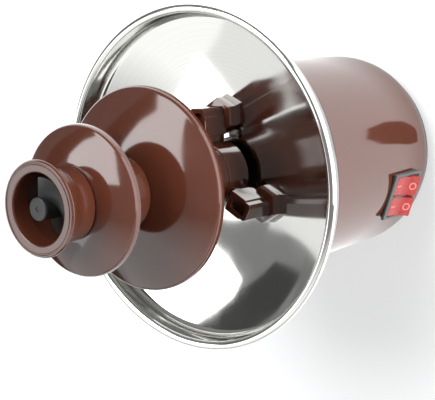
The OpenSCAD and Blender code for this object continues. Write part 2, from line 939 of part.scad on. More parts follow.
// Side view of a rocker, drawn along Z and inwards from its pin: a shallow V outside, narrowing inside
module rocker(side) {
    half = rocker_l / 2;
    color(red)
        translate([side * rocker_x, pivot_y, switch_z])
            rotate([-rocker_tilt, 0, 0])
                rotate([0, -90, 0])
                    translate([0, 0, -rocker_w / 2])
                        linear_extrude(rocker_w)
                            difference() {
                                polygon(rounded(
                                    [[-half, -0.5], [-rocker_edge[0], -rocker_edge[1]], [0, -pivot_in],
                                        [rocker_edge[0], -rocker_edge[1]], [half, -0.5], [4, 4], [-4, 4],
                                        [-half, -0.5]],
                                    [0, 0.5, 14, 0.5, 0, 1, 1, 0]
                                ));
                                circle(r = rocker_pin_r + 0.05);
                            }
}

module rocker_motor() {
    rocker(1);
}

module rocker_heat() {
    rocker(-1);
}

module rocker_pins() {
    color(steel)
        for (side = [-1, 1])
            translate([side < 0 ? -body_w / 2 + 0.2 : 0.15, pivot_y, switch_z])
                rotate([0, 90, 0])
                    cylinder(r = rocker_pin_r, h = body_w / 2 - 0.35);
}

module switch_terminals() {
    color(brass)
        for (p = blade_places)
            translate([p[0] - 2.4, -frame_back + switch_depth, switch_z + p[1] - 0.4])
                cube([4.8, 7, 0.8]);
}

module terminal_block() {
    color(pale)
        difference() {
            translate([-12, 20, housing_z])
                cube([24, 11, 10]);
            for (x = [-7.5, 0, 7.5])
                translate([x, 19, housing_z + 4])
                    rotate([-90, 0, 0])
                        cylinder(r = 1.6, h = 13);
        }
}

module cord_gland() {
    wall = wall_r(inlet_z);
    color(black)
        translate([0, 0, inlet_z])
            rotate([-90, 0, 0])
                turned_part([
                    [3.2, wall - base_wall - 3], [inlet_r + 1.5, wall - base_wall - 3],
                    [inlet_r + 1.5, wall - base_wall - 0.6], [inlet_r - screw_gap, wall - base_wall - 0.6],
                    [inlet_r - screw_gap, wall + 0.2], [inlet_r + 2, wall + 0.2], [inlet_r + 1, wall + 3],
                    [3.2, wall + 3]
                ]);
}

base_housing();
bottom_cover();
rubber_feet();
cover_screws();
bowl();
bowl_gasket();
bowl_clips();
peg_1();
peg_2();
peg_3();
peg_screws();
shaft_bush();
bush_nut();
shaft_seal();
heater_plate();
heater_element();
thermostat();
thermal_fuse();
motor_bracket();
bracket_screws();
gearbox();
gearbox_screws();
motor_can();
motor_terminals();
output_shaft();
coupling();
set_screws();
drive_shaft();
auger();
tower_foot();
big_tier();
small_tier();
crown();
switch_frame();
rocker_motor();
rocker_heat();
rocker_pins();
switch_terminals();
terminal_block();
cord_gland();
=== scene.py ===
"""Looks, stage and camera of a table-top chocolate fountain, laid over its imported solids."""

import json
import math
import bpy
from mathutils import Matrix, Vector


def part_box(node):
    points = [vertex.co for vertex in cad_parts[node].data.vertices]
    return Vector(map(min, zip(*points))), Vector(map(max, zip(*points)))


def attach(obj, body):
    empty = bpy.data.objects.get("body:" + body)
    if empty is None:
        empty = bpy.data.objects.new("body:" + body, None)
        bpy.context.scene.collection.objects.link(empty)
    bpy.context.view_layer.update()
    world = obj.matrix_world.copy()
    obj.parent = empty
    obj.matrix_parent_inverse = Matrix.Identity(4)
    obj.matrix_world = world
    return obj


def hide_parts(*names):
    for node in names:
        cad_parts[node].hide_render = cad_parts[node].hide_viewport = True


bl_info = {
    "name": "Chocolate Fountain",
    "version": (1, 0, 0),
    "blender": (4, 5, 0),
    "location": "3D View > Sidebar > Fountain",
    "description": "Builds the visible pieces, materials and stage of a chocolate fountain",
    "category": "Object",
}

import bmesh
import bpy
from bpy.props import FloatProperty, FloatVectorProperty, PointerProperty
from mathutils import Matrix, Vector

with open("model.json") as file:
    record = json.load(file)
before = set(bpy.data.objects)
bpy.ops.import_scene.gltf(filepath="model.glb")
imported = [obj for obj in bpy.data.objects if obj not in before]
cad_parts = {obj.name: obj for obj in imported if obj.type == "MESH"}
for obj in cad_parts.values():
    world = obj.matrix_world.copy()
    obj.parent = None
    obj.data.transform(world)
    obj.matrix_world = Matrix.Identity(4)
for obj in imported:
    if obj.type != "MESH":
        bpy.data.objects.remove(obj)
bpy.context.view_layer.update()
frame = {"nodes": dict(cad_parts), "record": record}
MM = 0.001
# Clearances: a spigot in its socket, the room past its end, and a piece on its seat
PLUG_GAP = 0.3 * MM
SOCKET_ROOM = 0.5 * MM
SEAT_GAP = 0.2 * MM
NODES = frame["nodes"]
JOINTS = {joint["name"]: joint for joint in frame["record"]["behaviour"]["joints"]}


def linear(code):
    """An sRGB hex colour as linear red, green, blue and alpha."""
    parts = [int(code[i : i + 2], 16) / 255 for i in (1, 3, 5)]
    return [c / 12.92 if c <= 0.04045 else ((c + 0.055) / 1.055) ** 2.4 for c in parts] + [1.0]


def length(name, description, default):
    """A size in millimetres that a user may change, shown in scene units."""
    return FloatProperty(
        name=name, description=description, default=default * MM, min=0, precision=4, unit="LENGTH"
    )


def colour(name, description, code):
    """A colour that a user may change."""
    return FloatVectorProperty(
        name=name, description=description, default=linear(code), size=4, min=0, max=1, subtype="COLOR"
    )


def reach(node):
    """Outer radius of a turned node."""
    low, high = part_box(node)
    return max(high.x, high.y, -low.x, -low.y)


def bottom(node):
    """Lowest height of a node."""
    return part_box(node)[0].z


class FountainSizes(bpy.types.PropertyGroup):
    """Sizes of the pieces that are drawn here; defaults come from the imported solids."""

    wall: length("Housing wall", "Thickness of the moulded housing", 2.5)
    round_r: length("Rounding width", "Radial size of the housing's lower rounding", 9)
    round_h: length("Rounding height", "Height of the housing's lower rounding", 20)
    low_r: length("Lower radius", "Radius of the housing above its lower rounding", 57)
    inlet_r: length("Inlet", "Radius of the lead's inlet in the housing", 5.5)
    sheet: length("Sheet", "Thickness of the bowl's steel", 0.8)
    roll: length("Rolled rim", "Radius of the bowl's rolled rim", 2.5)
    floor_r: length("Bowl floor", "Radius of the flat middle of the bowl's floor", 15)
    dish_r: length("Bowl dish", "Radius to which the bowl's floor is dished", 162)
    band_corner: length("Bowl corner", "Radius between the bowl's floor and its upright band", 7)
    tube_r: length("Tube", "Outer radius of the tower's tube", 19)
    bore_r: length("Bore", "Radius of the tower's bore", 16.5)
    socket_r: length("Socket", "Radius of the sockets between the tower's pieces", 17.8)
    spigot_h: length("Spigot", "Length of the spigots between the tower's pieces", 7.5)
    tier_t: length("Tier wall", "Wall thickness of the tiers", 2)
    tier_edge: length("Tier edge", "Radius of the tiers' rounded edge", 3)
    big_dome: length("Big dome", "Height of the big tier's dome", 12.8)
    small_dome: length("Small dome", "Height of the small tier's dome", 6.9)
    crown_r: length("Crown", "Radius of the crown's lip before it is rounded", 24.5)
    lip_h: length("Crown lip", "Height of the crown's lip", 3)
    mouth_r: length("Mouth", "Radius of the crown's mouth", 18.3)
    collar_h: length("Collar", "Height of the crown's plain collar", 9.5)
    pitch: length("Pitch", "Pitch of the auger's flight", 30)
    flight_t: length("Flight", "Thickness of the auger's flight", 3)
    core_r: length("Core", "Radius of the auger's core", 6)
    peg_af: length("Peg", "Width across the flats of a peg's base", 18)
    peg_h: length("Peg height", "Height of a peg's base", 7.2)
    pin_r: length("Peg pin", "Radius of the pin on a peg", 3.2)
    pin_l: length("Pin length", "Length of the pin on a peg", 9)
    peg_place: length("Peg place", "Distance of the pegs from the axis", 32)
    leg_w: length("Leg", "Width of a leg of the tower's foot", 12)
    leg_out: length("Leg reach", "Outer radius of the legs", 37.7)
    leg_gap: length("Leg gap", "Gap between the tube and a leg", 3.3)
    leg_corner: length("Leg bevel", "Size of the bevels at a leg's outer corners", 1.6)
    rocker_l: length("Rocker length", "Length of a rocker", 18.4)
    rocker_rise: length("Rocker ends", "Height of a rocker's ends over its middle", 2.2)
    rocker_face: length("Rocker face", "Height of a rocker's middle over its pin", 4)
    rocker_lean: length("Rocker lean", "How far a rocker's ends lean in", 0.5)
    rocker_w: length("Rocker width", "Width of a rocker", 11.6)
    plate: length("Switch plate", "Thickness of the switch's frame", 2)


class FountainColours(bpy.types.PropertyGroup):
    """Colours of the materials."""

    brown: colour("Brown", "Moulded brown plastic of the housing and the tower", "#4c271b")
    steel: colour("Steel", "Polished steel of the bowl", "#e9e9e6")
    dark: colour("Dark grey", "Dark plastic of the switch's frame and the bottom cover", "#4a4b4b")
    auger: colour("Auger grey", "Dark plastic of the auger", "#232524")
    red: colour("Red", "Plastic of the rockers", "#942523")
    mark: colour("Mark", "Printed marks on the rockers", "#cf7a73")
    rubber: colour("Rubber", "Feet, seals and grommet", "#232327")
    zinc: colour("Zinc", "Plated steel of screws, shafts and bracket", "#b9bcbd")
    aluminium: colour("Aluminium", "Cast gearbox, coupling and heater plate", "#b4b6b8")
    brass: colour("Brass", "Stamped terminals", "#c8a555")
    pale: colour("Pale nylon", "Bush, nut and terminal block", "#d9d5c8")
    floor: colour("Floor", "Pale floor", "#f4f7f8")


class FountainView(bpy.types.PropertyGroup):
    """Place and lens of the camera."""

    place: FloatVectorProperty(
        name="Place",
        description="Where the camera stands",
        default=(0.31106, -0.46755, 0.77671),
        unit="LENGTH",
    )
    look: FloatVectorProperty(
        name="Look", description="Direction in which the camera looks", default=(-0.38079, 0.54241, -0.7488)
    )
    upwards: FloatVectorProperty(
        name="Upwards",
        description="Direction that is up in the picture",
        default=(0.89084, 0.43237, -0.1398),
    )
    lens: FloatProperty(name="Lens", description="Focal length on a sensor of 36 mm", default=126.95)


# Materials


def add(tree, kind, settings=None, links=None):
    """Adds one node to a tree, with values for its settings or sockets and links into its sockets."""
    node = tree.nodes.new(kind)
    for key, value in (settings or {}).items():
        if isinstance(key, int) or key in node.inputs:
            node.inputs[key].default_value = value
        else:
            setattr(node, key, value)
    for key, socket in (links or {}).items():
        tree.links.new(socket, node.inputs[key])
    return node


def tone(rgba, factor):
    """A colour made darker or lighter."""
    return [min(1, c * factor) for c in rgba[:3]] + [1.0]


def surface(name, rgba, finish):
    """A material with a mottled colour, an uneven gloss and a fine relief, sized in millimetres."""
    material = bpy.data.materials.get(name)
    if material:
        return material
    material = bpy.data.materials.new(name)
    material.use_nodes = True
    tree = material.node_tree
    tree.nodes.clear()
    place = add(tree, "ShaderNodeTexCoord").outputs["Object"]
    stretched = add(
        tree, "ShaderNodeMapping", {"Scale": finish.get("stretch", (1, 1, 1))}, {"Vector": place}
    ).outputs["Vector"]
    cloud = add(
        tree,
        "ShaderNodeTexNoise",
        {"Scale": 1 / (finish["cloud"] * MM), "Detail": 3},
        {"Vector": stretched},
    ).outputs["Fac"]
    tint = add(
        tree,
        "ShaderNodeMix",
        {"data_type": "RGBA", 6: tone(rgba, 1 - finish["vary"]), 7: tone(rgba, 1 + finish["vary"])},
        {0: cloud},
    ).outputs[2]
    gloss = add(
        tree,
        "ShaderNodeMapRange",
        {"From Min": 0.3, "From Max": 0.7, "To Min": finish["rough"][0], "To Max": finish["rough"][1]},
        {"Value": cloud},
    ).outputs["Result"]
    grain = add(
        tree,
        "ShaderNodeTexNoise",
        {"Scale": 1 / (finish["grain"] * MM), "Detail": 2},
        {"Vector": stretched},
    ).outputs["Fac"]
    relief = add(
        tree,
        "ShaderNodeBump",
        {"Strength": finish["relief"], "Distance": finish["depth"] * MM},
        {"Height": grain},
    ).outputs["Normal"]
    shader = add(
        tree,
        "ShaderNodeBsdfPrincipled",
        finish["shader"],
        {"Base Color": tint, "Roughness": gloss, "Normal": relief},
    )
    add(tree, "ShaderNodeOutputMaterial", None, {"Surface": shader.outputs["BSDF"]})
    return material


def brown_abs():
    """Injection-moulded ABS with a polished mould finish: deep gloss with a very slight orange peel."""
    finish = {
        "cloud": 25, "vary": 0.06, "rough": (0.07, 0.12), "grain": 5, "relief": 0.05, "depth": 0.05,
        "shader": {"IOR": 1.54, "Specular IOR Level": 0.9},
    }
    return surface("moulded glossy ABS", bpy.context.scene.fountain_colours.brown, finish)


def dark_nylon():
    """Moulded nylon with a satin mould finish: broad soft highlights and a fine grain."""
    finish = {
        "cloud": 9, "vary": 0.12, "rough": (0.32, 0.45), "grain": 0.5, "relief": 0.2, "depth": 0.05,
        "shader": {"IOR": 1.53},
    }
    return surface("moulded satin nylon", bpy.context.scene.fountain_colours.dark, finish)


def dark_acetal():
    """Moulded acetal with a fine mould finish: smooth, with a waxy sheen."""
    finish = {
        "cloud": 12, "vary": 0.1, "rough": (0.28, 0.38), "grain": 0.8, "relief": 0.1, "depth": 0.04,
        "shader": {"IOR": 1.48},
    }
    return surface("moulded satin acetal", bpy.context.scene.fountain_colours.auger, finish)


def red_polycarbonate():
    """Moulded polycarbonate of the rockers: glossy, with a little light inside."""
    finish = {
        "cloud": 6, "vary": 0.05, "rough": (0.22, 0.32), "grain": 1.2, "relief": 0.06, "depth": 0.03,
        "shader": {"IOR": 1.58, "Subsurface Weight": 0.15, "Subsurface Radius": (0.002, 0.0006, 0.0005)},
    }
    return surface("moulded glossy polycarbonate", bpy.context.scene.fountain_colours.red, finish)


def printed_ink():
    """Pad-printed ink: matt and slightly uneven."""
    finish = {
        "cloud": 1.5, "vary": 0.08, "rough": (0.5, 0.65), "grain": 0.3, "relief": 0.2, "depth": 0.02,
        "shader": {"IOR": 1.5},
    }
    return surface("pad-printed ink", bpy.context.scene.fountain_colours.mark, finish)


def moulded_rubber():
    """Moulded rubber: dull, with a fine dusty grain."""
    finish = {
        "cloud": 4, "vary": 0.2, "rough": (0.6, 0.8), "grain": 0.6, "relief": 0.3, "depth": 0.06,
        "shader": {"IOR": 1.52},
    }
    return surface("moulded rubber", bpy.context.scene.fountain_colours.rubber, finish)


def zinc_steel():
    """Zinc-plated steel: grey-blue metal with soft cloudy reflections."""
    finish = {
        "cloud": 6, "vary": 0.08, "rough": (0.25, 0.4), "grain": 0.8, "relief": 0.1, "depth": 0.03,
        "shader": {"Metallic": 1.0},
    }
    return surface("zinc-plated steel", bpy.context.scene.fountain_colours.zinc, finish)


def cast_aluminium():
    """Die-cast aluminium: pale metal with a sandy grain."""
    finish = {
        "cloud": 8, "vary": 0.1, "rough": (0.4, 0.55), "grain": 0.7, "relief": 0.25, "depth": 0.06,
        "shader": {"Metallic": 1.0},
    }
    return surface("die-cast aluminium", bpy.context.scene.fountain_colours.aluminium, finish)


def stamped_brass():
    """Stamped brass: yellow metal with rolling lines."""
    finish = {
        "cloud": 3, "vary": 0.12, "rough": (0.25, 0.4), "grain": 0.4, "relief": 0.15, "depth": 0.03,
        "stretch": (1, 1, 0.15), "shader": {"Metallic": 1.0},
    }
    return surface("stamped brass", bpy.context.scene.fountain_colours.brass, finish)


def pale_nylon():
    """Natural moulded nylon: creamy and half dull."""
    finish = {
        "cloud": 8, "vary": 0.06, "rough": (0.4, 0.5), "grain": 0.8, "relief": 0.15, "depth": 0.04,
        "shader": {"IOR": 1.53, "Subsurface Weight": 0.1, "Subsurface Radius": (0.002, 0.0018, 0.0014)},
    }
    return surface("moulded natural nylon", bpy.context.scene.fountain_colours.pale, finish)


def spun_steel():
    """Polished stainless sheet, spun and buffed on a lathe: a mirror with faint rings round the axis.

    The inside and the rim are buffed. The outside below the rim keeps the rougher finish of rolled sheet
    and is darkened as painted shade.
    """
    name = "spun polished stainless steel"
    # The rings are the finest that the picture can show
    ring_gap, smear_size, rim_r = 1.2 * MM, 22 * MM, 91 * MM
    # The outside below the rim is rougher, and its colour is darkened to this share as painted shade
    painted_shade_tone, dull_rough = 0.45, 0.32
    material = bpy.data.materials.get(name)
    if material:
        return material
    rgba = bpy.context.scene.fountain_colours.steel
    material = bpy.data.materials.new(name)
    material.use_nodes = True
    tree = material.node_tree
    tree.nodes.clear()
    coordinates = add(tree, "ShaderNodeTexCoord").outputs
    place = coordinates["Object"]
    flat = add(
        tree, "ShaderNodeVectorMath", {"operation": "MULTIPLY", 1: (1, 1, 0)}, {0: place}
    ).outputs["Vector"]
    radius = add(tree, "ShaderNodeVectorMath", {"operation": "LENGTH"}, {0: flat}).outputs["Value"]
    height = add(tree, "ShaderNodeSeparateXYZ", None, {"Vector": place}).outputs["Z"]
    along = add(tree, "ShaderNodeMath", {"operation": "ADD"}, {0: radius, 1: height}).outputs["Value"]
    rings = add(
        tree, "ShaderNodeTexNoise",
        {"noise_dimensions": "1D", "Scale": 1 / ring_gap, "Detail": 3}, {"W": along},
    ).outputs["Fac"]
    smears = add(
        tree, "ShaderNodeTexNoise", {"Scale": 1 / smear_size, "Detail": 2}, {"Vector": place}
    ).outputs["Fac"]
    tint = add(
        tree, "ShaderNodeMix", {"data_type": "RGBA", 6: tone(rgba, 0.94), 7: tone(rgba, 1.03)}, {0: rings}
    ).outputs[2]
    gloss = add(
        tree, "ShaderNodeMapRange",
        {"From Min": 0.3, "From Max": 0.7, "To Min": 0.06, "To Max": 0.11}, {"Value": smears},
    ).outputs["Result"]
    relief = add(
        tree, "ShaderNodeBump", {"Strength": 0.03, "Distance": 0.05 * MM}, {"Height": rings}
    ).outputs["Normal"]
    outwards = add(tree, "ShaderNodeVectorMath", {"operation": "NORMALIZE"}, {0: flat}).outputs["Vector"]
    facing = add(
        tree, "ShaderNodeVectorMath", {"operation": "DOT_PRODUCT"}, {0: coordinates["Normal"], 1: outwards}
    ).outputs["Value"]
    # Mask of the outside below the rim: rougher there, and darkened there as painted shade
    outside = add(tree, "ShaderNodeMath", {"operation": "GREATER_THAN", 1: 0.2}, {0: facing})
    below = add(tree, "ShaderNodeMath", {"operation": "LESS_THAN", 1: rim_r}, {0: radius})
    both = {0: outside.outputs["Value"], 1: below.outputs["Value"]}
    dull = add(tree, "ShaderNodeMath", {"operation": "MULTIPLY"}, both).outputs["Value"]
    # Painted shade: darkens the outside below the rim, which dims the floor that it mirrors
    tint = add(
        tree, "ShaderNodeMix", {"data_type": "RGBA", 7: tone(rgba, painted_shade_tone)}, {0: dull, 6: tint}
    ).outputs[2]
    gloss = add(
        tree, "ShaderNodeMix", {"data_type": "FLOAT", 3: dull_rough}, {0: dull, 2: gloss}
    ).outputs[0]
    shader = add(
        tree, "ShaderNodeBsdfPrincipled", {"Metallic": 1.0},
        {"Base Color": tint, "Roughness": gloss, "Normal": relief},
    )
    add(tree, "ShaderNodeOutputMaterial", None, {"Surface": shader.outputs["BSDF"]})
    return material


# Outlines and meshes


def arc(middle, across, high, start, end, steps=16):
    """Points of an elliptical arc, angles in degrees."""
    angles = [math.radians(start + (end - start) * i / steps) for i in range(steps + 1)]
    return [Vector((middle[0] + across * math.cos(a), middle[1] + high * math.sin(a))) for a in angles]


def rounded(path, radii, steps=6):
    """An open path whose inner corners are rounded by arcs."""
    path = [Vector(p) for p in path]
    points = []
    for i, p in enumerate(path):
        if i in (0, len(path) - 1) or radii[i] == 0:
            points.append(p)
            continue
        before = (p - path[i - 1]).normalized()
        after = (path[i + 1] - p).normalized()
        angle = before.angle(after)
        side = 1 if before.x * after.y - before.y * after.x >= 0 else -1
        normal = Vector((-before.y, before.x))
        middle = p - before * radii[i] * math.tan(angle / 2) + normal * radii[i] * side
        for k in range(steps + 1):
            turn = Matrix.Rotation(side * angle * k / steps, 2)
            points.append(middle - (turn @ normal) * radii[i] * side)
    return points


def curve(start, pull, end, steps=24):
    """Points of a quadratic curve."""
    start, pull, end = Vector(start), Vector(pull), Vector(end)
    shares = [i / steps for i in range(steps + 1)]
    return [start * (1 - u) ** 2 + pull * 2 * u * (1 - u) + end * u * u for u in shares]


def dome(hub, edge):
    """Outline of a tier's dome, which falls by 12 degrees at the hub and by 27 at the edge."""
    a, b = math.tan(math.radians(12)), math.tan(math.radians(27))
    x = (hub[1] - edge[1] + a * hub[0] - b * edge[0]) / (a - b)
    return curve(hub, (x, hub[1] - a * (x - hub[0])), edge)


def dish(s, r):
    """Height of the bowl's dished floor above its flat middle."""
    out = max(0, r - s.floor_r)
    return s.dish_r - math.sqrt(s.dish_r**2 - out**2)


def offset(path, by):
    """An open path moved to its right by a distance."""
    path = [Vector(p) for p in path]
    moved = []
    for i, p in enumerate(path):
        before = (p - path[i - 1]).normalized() if i else (path[1] - p).normalized()
        after = (path[i + 1] - p).normalized() if i + 1 < len(path) else before
        normals = Vector((before.y, -before.x)) + Vector((after.y, -after.x))
        moved.append(p + normals * by / (1 + before.dot(after)))
    return moved


def stack(mesh, rows, at, ends=True):
    """Joins outlines of equal count, each with its heights, into one solid or sleeve."""
    loops = []
    for outline, height in rows:
        heights = height if isinstance(height, list) else [height] * len(outline)
        loops.append([mesh.verts.new(at @ Vector((x, y, z))) for (x, y), z in zip(outline, heights)])
    for lower, upper in zip(loops, loops[1:]):
        for i in range(len(lower)):
            n = (i + 1) % len(lower)
            mesh.faces.new((lower[i], lower[n], upper[n], upper[i]))
    if ends:
        mesh.faces.new(loops[0])
        mesh.faces.new(loops[-1])
    return loops


def lathe(mesh, outline, steps=180):
    """Turns a closed outline of radii and heights round the axis into a mesh."""
    rings = []
    for r, z in outline:
        if r < 1e-7:
            rings.append([mesh.verts.new((0, 0, z))] * steps)
        else:
            turn = [2 * math.pi * k / steps for k in range(steps)]
            rings.append([mesh.verts.new((r * math.cos(a), r * math.sin(a), z)) for a in turn])
    for ring, following in zip(rings, rings[1:] + rings[:1]):
        for k in range(steps):
            n = (k + 1) % steps
            corners = []
            for vertex in (ring[k], ring[n], following[n], following[k]):
                if vertex not in corners:
                    corners.append(vertex)
            if len(corners) > 2:
                mesh.faces.new(corners)


def block(mesh, low, high, bevel=0.0, at=None):
    """A box with bevelled edges, placed by a matrix."""
    centre = (Vector(low) + Vector(high)) / 2
    size = Vector(high) - Vector(low)
    place = (at or Matrix.Identity(4)) @ Matrix.Translation(centre) @ Matrix.Diagonal((*size, 1))
    made = bmesh.ops.create_cube(mesh, size=1, matrix=place)
    if bevel:
        edges = list({e for v in made["verts"] for e in v.link_edges})
        bmesh.ops.bevel(mesh, geom=edges, offset=bevel, segments=3, profile=0.5, affect="EDGES")


def prism(mesh, outline, depth, bevel=0.0, at=None):
    """A closed outline in X and Y, drawn out along Z about its middle, with bevelled rims."""
    at = at or Matrix.Identity(4)
    low = [mesh.verts.new(at @ Vector((x, y, -depth / 2))) for x, y in outline]
    high = [mesh.verts.new(at @ Vector((x, y, depth / 2))) for x, y in outline]
    caps = [mesh.faces.new(low[::-1]), mesh.faces.new(high)]
    count = len(outline)
    for i in range(count):
        n = (i + 1) % count
        mesh.faces.new((low[i], low[n], high[n], high[i]))
    if bevel:
        rims = list({e for cap in caps for e in cap.edges})
        bmesh.ops.bevel(mesh, geom=rims, offset=bevel, segments=3, profile=0.5, affect="EDGES")


def place_piece(mesh, name, material, body, nodes=(), sharp=35):
    """Makes an object of a mesh, gives it its looks and lets it ride on its body."""
    bmesh.ops.recalc_face_normals(mesh, faces=mesh.faces)
    data = bpy.data.meshes.new(name)
    mesh.to_mesh(data)
    mesh.free()
    data.shade_smooth()
    data.set_sharp_from_angle(angle=math.radians(sharp))
    data.materials.append(material)
    piece = bpy.data.objects.new(name, data)
    bpy.context.scene.collection.objects.link(piece)
    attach(piece, body)
    if nodes:
        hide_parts(*nodes)
    return piece


def carve(piece, cutter):
    """Cuts a mesh out of a piece."""
    data = bpy.data.meshes.new("cutter")
    bmesh.ops.recalc_face_normals(cutter, faces=cutter.faces)
    cutter.to_mesh(data)
    cutter.free()
    tool = bpy.data.objects.new("cutter", data)
    bpy.context.scene.collection.objects.link(tool)
    cut = piece.modifiers.new("cut", "BOOLEAN")
    cut.operation = "DIFFERENCE"
    cut.solver = "EXACT"
    cut.object = tool
    graph = bpy.context.evaluated_depsgraph_get()
    shaped = bpy.data.meshes.new_from_object(piece.evaluated_get(graph))
    piece.modifiers.remove(cut)
    piece.data = shaped
    bpy.data.objects.remove(tool)


def dress(names, material):
    """Gives CAD nodes a finished material and smooth shading."""
    for name in names:
        data = NODES[name].data
        data.materials.clear()
        data.materials.append(material)
        data.shade_smooth()
        data.set_sharp_from_angle(angle=math.radians(30))


# Operators


class FOUNTAIN_OT_housing(bpy.types.Operator):
    """Turns the moulded housing, with its openings for the switch and the lead"""

    bl_idname = "fountain.housing"
    bl_label = "Housing"

    def execute(self, context):
        s = context.scene.fountain_sizes
        low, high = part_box("base_housing")
        top_r = reach("base_housing")
        foot_r = s.low_r - s.round_r
        bend = (foot_r, low.z + s.round_h)
        outside = arc(bend, s.round_r, s.round_h, -90, 0) + [Vector((top_r, high.z))]
        inside = arc((foot_r - s.wall, bend[1]), s.round_r, s.round_h, -90, 0)
        inside.append(Vector((top_r - s.wall, high.z)))
        mesh = bmesh.new()
        lathe(mesh, outside + inside[::-1], 240)
        piece = place_piece(mesh, "housing", brown_abs(), "base", ["base_housing"])
        frame_low, frame_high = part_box("switch_frame")
        # The opening for the switch's body, and the flat on which its frame lies
        outwards = Vector((0, 6 * MM, 0))
        margin = Vector((0.8 * MM, 0, 0.9 * MM))
        window = bmesh.new()
        block(window, frame_low + margin - outwards, frame_high - margin)
        carve(piece, window)
        ease = Vector((0.3 * MM, 0, 0.3 * MM))
        flat = bmesh.new()
        seat = Vector((frame_high.x, frame_low.y + s.plate, frame_high.z))
        block(flat, frame_low - ease - outwards, seat + ease)
        carve(piece, flat)
        # The lead's inlet, through the back wall alone
        gland_low, gland_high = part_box("cord_gland")
        through = Matrix.Translation((gland_low + gland_high) / 2) @ Matrix.Rotation(math.pi / 2, 4, "X")
        inlet = bmesh.new()
        past_wall = 40 * MM
        prism(inlet, circle(s.inlet_r, 48), past_wall, 0, through)
        carve(piece, inlet)
        return {"FINISHED"}


class FOUNTAIN_OT_bowl(bpy.types.Operator):
    """Spins the steel bowl with its rolled rim"""

    bl_idname = "fountain.bowl"
    bl_label = "Bowl"

    def execute(self, context):
        s = context.scene.fountain_sizes
        low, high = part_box("bowl")
        floor_z = low.z + s.sheet
        rim_z = high.z - s.roll
        band_r = reach("bowl") - 2 * s.roll
        radii = [s.floor_r + (band_r - s.floor_r) * k / 40 for k in range(41)]
        inside = [(0, floor_z)] + [(r, floor_z + dish(s, r)) for r in radii] + [(band_r, rim_z)]
        outside = offset(inside, s.sheet)
        corner = [0] * 41 + [s.band_corner, 0]
        outer_corner = [0] * 41 + [s.band_corner + s.sheet, 0]
        middle = (band_r + s.roll, rim_z)
        inner_roll = s.roll - s.sheet
        outline = (
            rounded(inside, corner, 12)
            + arc(middle, s.roll, s.roll, 180, -80, 32)
            + arc(middle, inner_roll, inner_roll, -80, 180, 32)
            + rounded(outside, outer_corner, 12)[::-1]
        )
        mesh = bmesh.new()
        lathe(mesh, outline, 240)
        place_piece(mesh, "steel_bowl", spun_steel(), "base", ["bowl"])
        return {"FINISHED"}


class FOUNTAIN_OT_pegs(bpy.types.Operator):
    """Builds the three hexagonal pegs on which the tower stands"""

    bl_idname = "fountain.pegs"
    bl_label = "Pegs"

    def execute(self, context):
        s = context.scene.fountain_sizes
        floor_z = bottom("bowl") + s.sheet
        corner, soft, sunk = 0.8 * MM, 0.25 * MM, 0.2 * MM
        for number in (1, 2, 3):
            node = f"peg_{number}"
            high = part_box(node)[1]
            at = Matrix.Rotation(peg_direction(number), 4, "Z")
            across = s.peg_af / math.sqrt(3)
            corners = turn_steps(6)
            base = [Vector((s.peg_place + across * math.cos(a), across * math.sin(a))) for a in corners]
            closed = [(base[5] + base[0]) / 2] + base + [(base[5] + base[0]) / 2]
            outline = rounded(closed, [0] + [corner] * 6 + [0])[:-1]
            on_floor = [floor_z + dish(s, p.length) - sunk for p in outline]
            top_z = floor_z + s.peg_h
            mesh = bmesh.new()
            rows = [(outline, on_floor), (outline, top_z - corner)]
            rows += [(shrunk(outline, soft), top_z - soft), (shrunk(outline, corner), top_z)]
            stack(mesh, rows, at)
            upright = at @ Matrix.Translation((s.peg_place, 0, high.z - s.pin_l / 2))
            prism(mesh, circle(s.pin_r, 32), s.pin_l, 0.5 * MM, upright)
            place_piece(mesh, node.replace("_", "_base_"), brown_abs(), "base", [node])
        return {"FINISHED"}


def turn_steps(count):
    """Angles that share out a full turn."""
    return [2 * math.pi * k / count for k in range(count)]


def circle(radius, count):
    """Points of a circle round the origin."""
    return [(radius * math.cos(a), radius * math.sin(a)) for a in turn_steps(count)]


def peg_direction(number):
    """Direction of a peg from the axis, in radians."""
    low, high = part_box(f"peg_{number}")
    middle = (low + high) / 2
    return math.atan2(middle.y, middle.x)


def tier_outline(s, edge_r, edge_z, hub_z, low_z, low_r):
    """Outline of a tier: spigot, tube, underside, rounded edge, dome and socket."""
    straight, ledge = 0.8 * MM, 0.6 * MM
    skirt = edge_z - s.tier_edge - straight
    above = dome((s.tube_r + ledge, hub_z), (edge_r, edge_z)) + [Vector((edge_r, skirt))]
    above = rounded(above, [0] * (len(above) - 2) + [s.tier_edge, 0], 10)
    below = dome((low_r, hub_z - 1.1 * s.tier_t), (edge_r - s.tier_t, edge_z - s.tier_t))
    spigot_r = s.socket_r - PLUG_GAP
    socket_z = hub_z - s.spigot_h - SOCKET_ROOM
    low_end = low_z - s.spigot_h
    return (
        [(s.bore_r, low_end), (spigot_r, low_end), (spigot_r, low_z), (low_r, low_z)]
        + below
        + [(edge_r - s.tier_t, skirt)]
        + above[::-1]
        + [(s.socket_r, hub_z), (s.socket_r, socket_z), (s.bore_r, socket_z)]
    )


